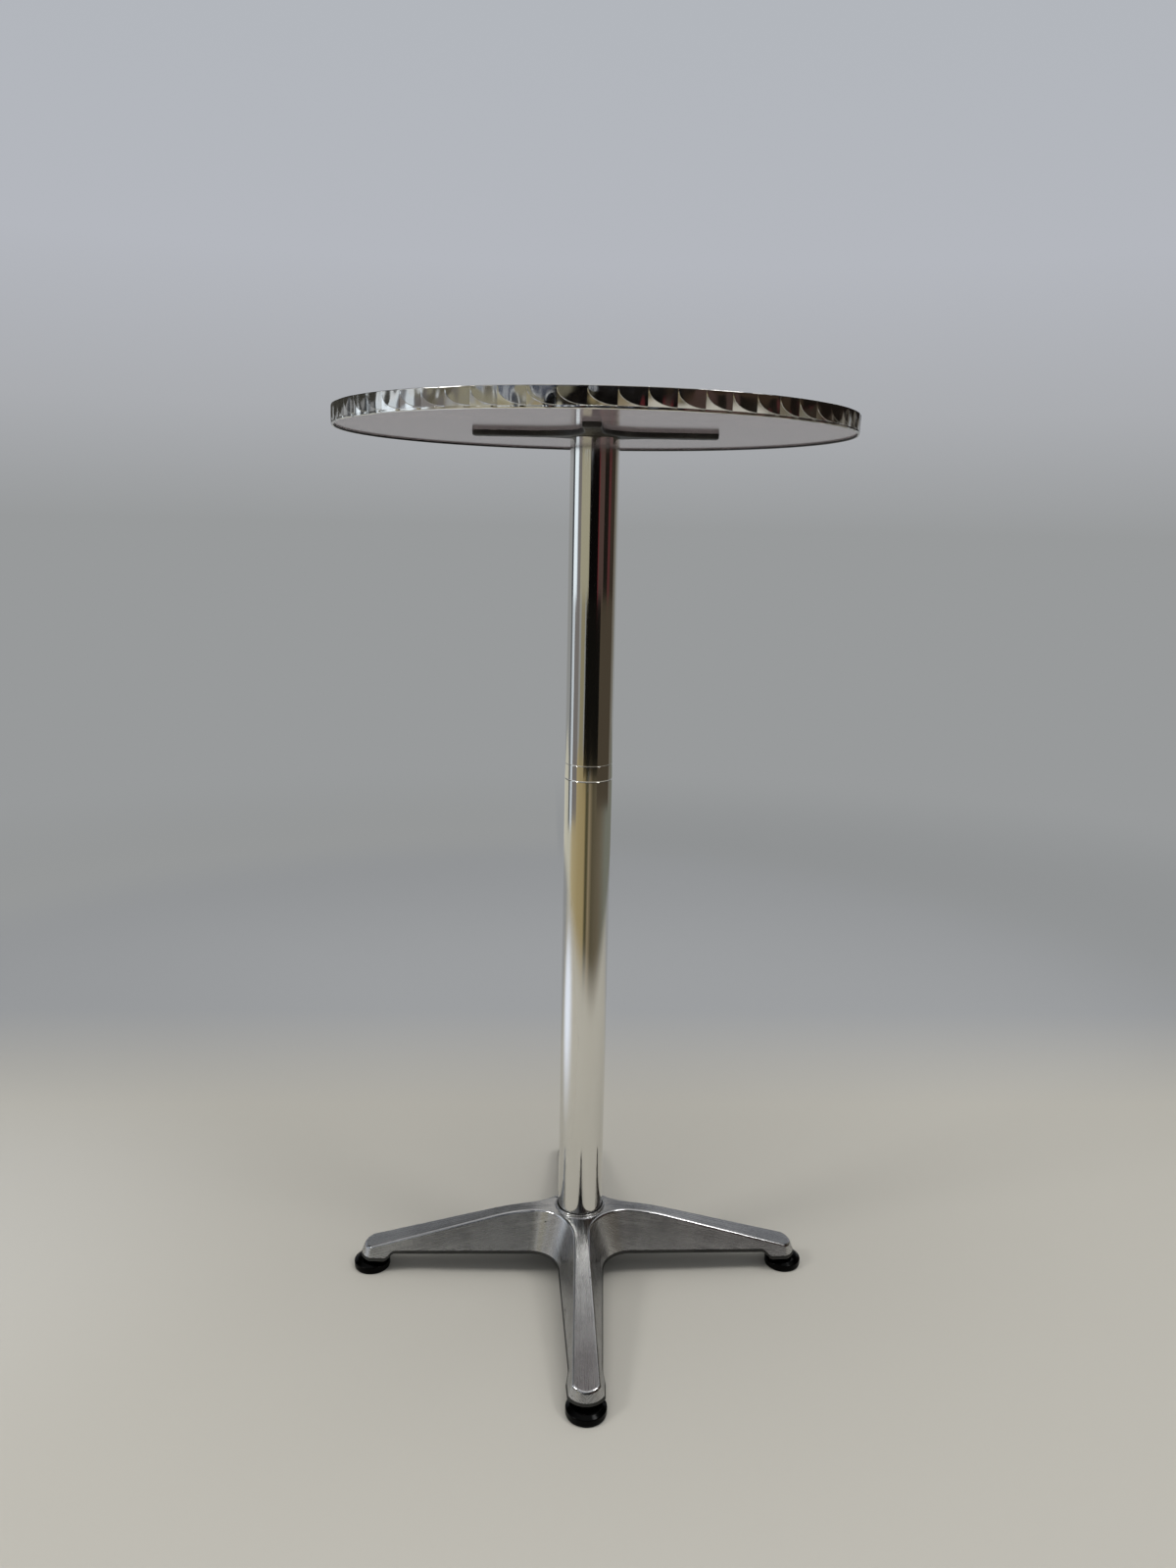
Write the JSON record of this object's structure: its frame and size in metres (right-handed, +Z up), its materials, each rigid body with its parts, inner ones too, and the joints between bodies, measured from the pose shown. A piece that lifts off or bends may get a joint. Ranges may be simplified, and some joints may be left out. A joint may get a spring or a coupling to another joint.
{
  "type": "pub table",
  "caption": "Tall round pub table with a swirl-finished steel-clad top, a bolted tube column and a star-shaped cast aluminium base on screw-in levelling feet.",
  "frame": {"origin": "on the floor under the middle of the column, with the levelling feet screwed in", "axes": "+Z up along the column, arms of the base along X and Y, front arm along -Y"},
  "size_m": [0.6014, 0.6014, 1.1],
  "materials": {
    "stainless_steel": "polished with overlapping swirls",
    "particle_board": "raw board",
    "white_laminate": "semi-gloss",
    "black_paint": "satin black paint on a casting",
    "aluminium_tube": "polished",
    "cast_aluminium": "linished and polished casting",
    "zinc_steel": "zinc plated",
    "black_plastic": "gloss moulded"
  },
  "bodies": {
    "table": {"tabletop_skin": "stainless_steel", "tabletop_board": "particle_board", "backing_sheet": "white_laminate", "top_bracket": "black_paint", "bracket_screws": "black_paint", "upper_tube": "aluminium_tube", "joining_collar": "aluminium_tube", "lower_tube": "aluminium_tube", "upper_tie_rod": "zinc_steel", "lower_tie_rod": "zinc_steel", "rod_coupling_nut": "zinc_steel", "base_casting": "cast_aluminium", "base_flat_washer": "zinc_steel", "base_spring_washer": "zinc_steel", "base_nut": "zinc_steel"},
    "foot_front": {"foot_pad_front": "black_plastic", "foot_stud_front": "zinc_steel"},
    "foot_right": {"foot_pad_right": "black_plastic", "foot_stud_right": "zinc_steel"},
    "foot_back": {"foot_pad_back": "black_plastic", "foot_stud_back": "zinc_steel"},
    "foot_left": {"foot_pad_left": "black_plastic", "foot_stud_left": "zinc_steel"}
  },
  "joints": [
    {"name": "foot_front_screw_travel", "type": "slide", "parent": "table", "child": "foot_front", "axis": [0, 0, -1], "range_m": [0, 0.008]},
    {"name": "foot_right_screw_travel", "type": "slide", "parent": "table", "child": "foot_right", "axis": [0, 0, -1], "range_m": [0, 0.008]},
    {"name": "foot_back_screw_travel", "type": "slide", "parent": "table", "child": "foot_back", "axis": [0, 0, -1], "range_m": [0, 0.008]},
    {"name": "foot_left_screw_travel", "type": "slide", "parent": "table", "child": "foot_left", "axis": [0, 0, -1], "range_m": [0, 0.008]}
  ]
}
